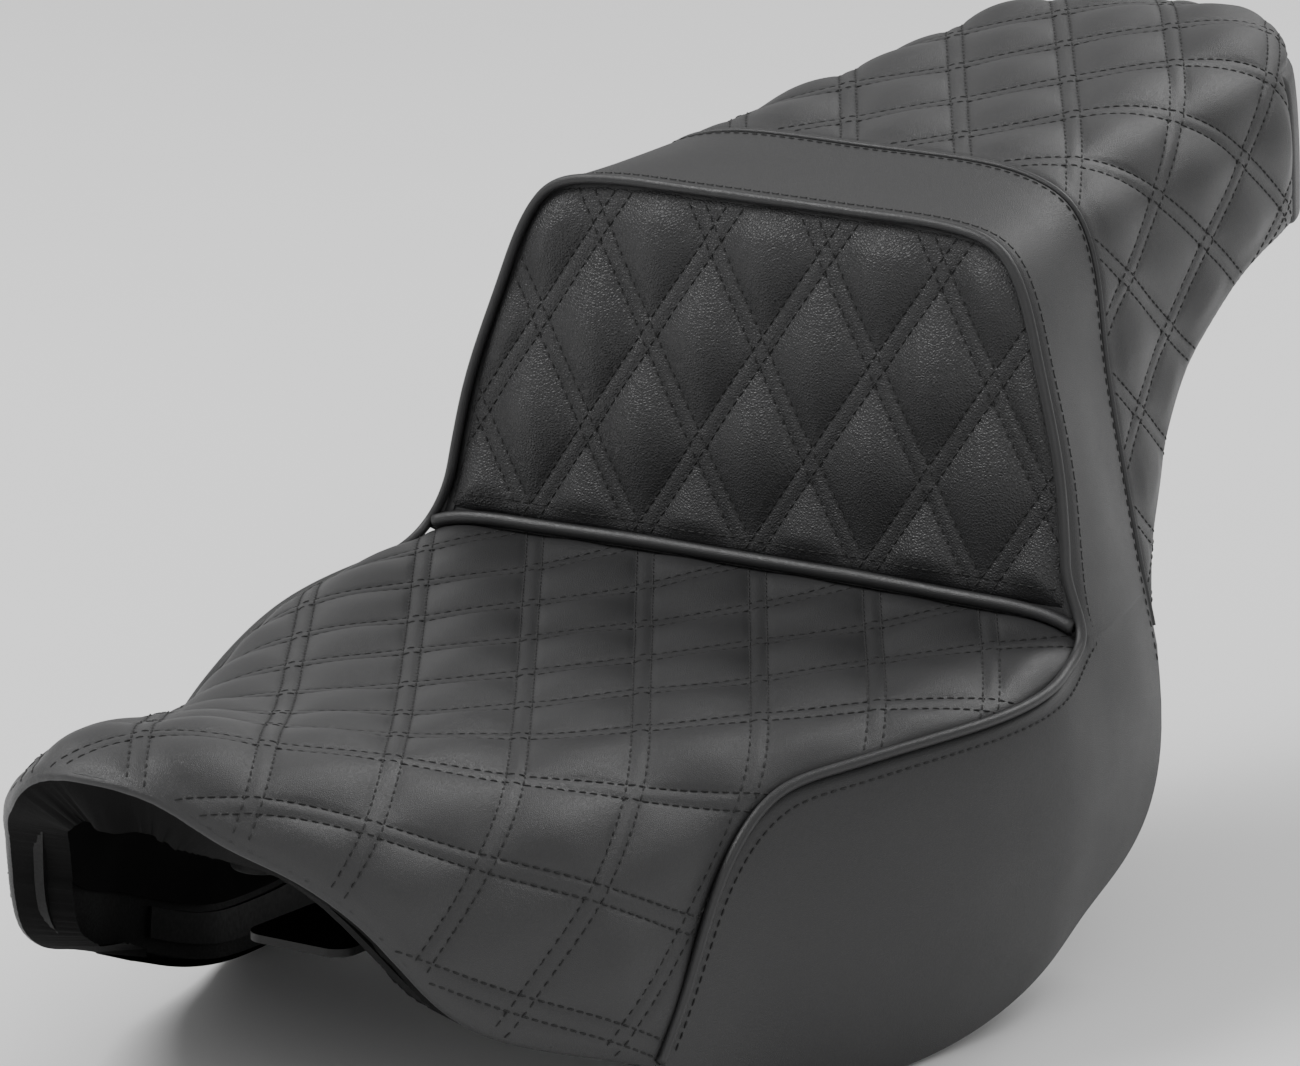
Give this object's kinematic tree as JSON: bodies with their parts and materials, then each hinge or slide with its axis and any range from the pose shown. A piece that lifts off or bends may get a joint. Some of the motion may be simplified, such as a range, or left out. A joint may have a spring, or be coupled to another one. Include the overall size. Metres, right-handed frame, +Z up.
{
  "type": "two-up motorcycle seat",
  "caption": "Step-up two-person motorcycle seat with quilted rider, back and passenger panels, plain skirts and a moulded pan.",
  "frame": {"origin": "middle of the width and of the length, level with the lowest edge of the skirts; the foot of the back panel is 42 mm behind it", "axes": "+Z up, -Y towards the nose, +X towards the rider's left"},
  "size_m": [0.3276, 0.724, 0.308],
  "materials": {
    "grained_vinyl": "satin, pebbled grain",
    "quilted_vinyl": "satin, fine grain",
    "plain_vinyl": "satin, fine grain",
    "piping_vinyl": "satin",
    "foam": "matte, open cell",
    "gel": "satin",
    "pan_plastic": "matte, moulded",
    "felt": "matte felt",
    "strip_plastic": "matte",
    "bumper_rubber": "matte",
    "black_steel": "satin black",
    "rivet_steel": "zinc plated",
    "screw_steel": "zinc plated"
  },
  "bodies": {
    "seat": {"back_cover": "grained_vinyl", "back_foam": "foam", "base_pan": "pan_plastic", "cover_strip_left": "strip_plastic", "cover_strip_right": "strip_plastic", "floor_bumper_1": "bumper_rubber", "floor_bumper_2": "bumper_rubber", "floor_bumper_3": "bumper_rubber", "floor_bumper_4": "bumper_rubber", "foot_roll": "piping_vinyl", "front_tongue": "black_steel", "pan_liner": "felt", "passenger_cover": "quilted_vinyl", "passenger_foam": "foam", "passenger_gel": "gel", "perimeter_piping": "piping_vinyl", "rear_seam_welt": "piping_vinyl", "rear_tab": "black_steel", "rider_cover": "quilted_vinyl", "rider_foam": "foam", "rider_gel": "gel", "shelf_bumper_1": "bumper_rubber", "shelf_bumper_2": "bumper_rubber", "surround_cover": "plain_vinyl", "tab_rivet_1": "rivet_steel", "tab_rivet_2": "rivet_steel", "tail_cover": "plain_vinyl", "tongue_rivet_1": "rivet_steel", "tongue_rivet_2": "rivet_steel"},
    "thumbscrew": {"thumbscrew": "screw_steel", "thumbscrew_clip": "screw_steel"}
  },
  "joints": [
    {"name": "thumbscrew_turn", "type": "hinge", "parent": "seat", "child": "thumbscrew", "pos_m": [0, 0.329, 0.2295], "axis": [0, 0, 1], "continuous": true}
  ]
}
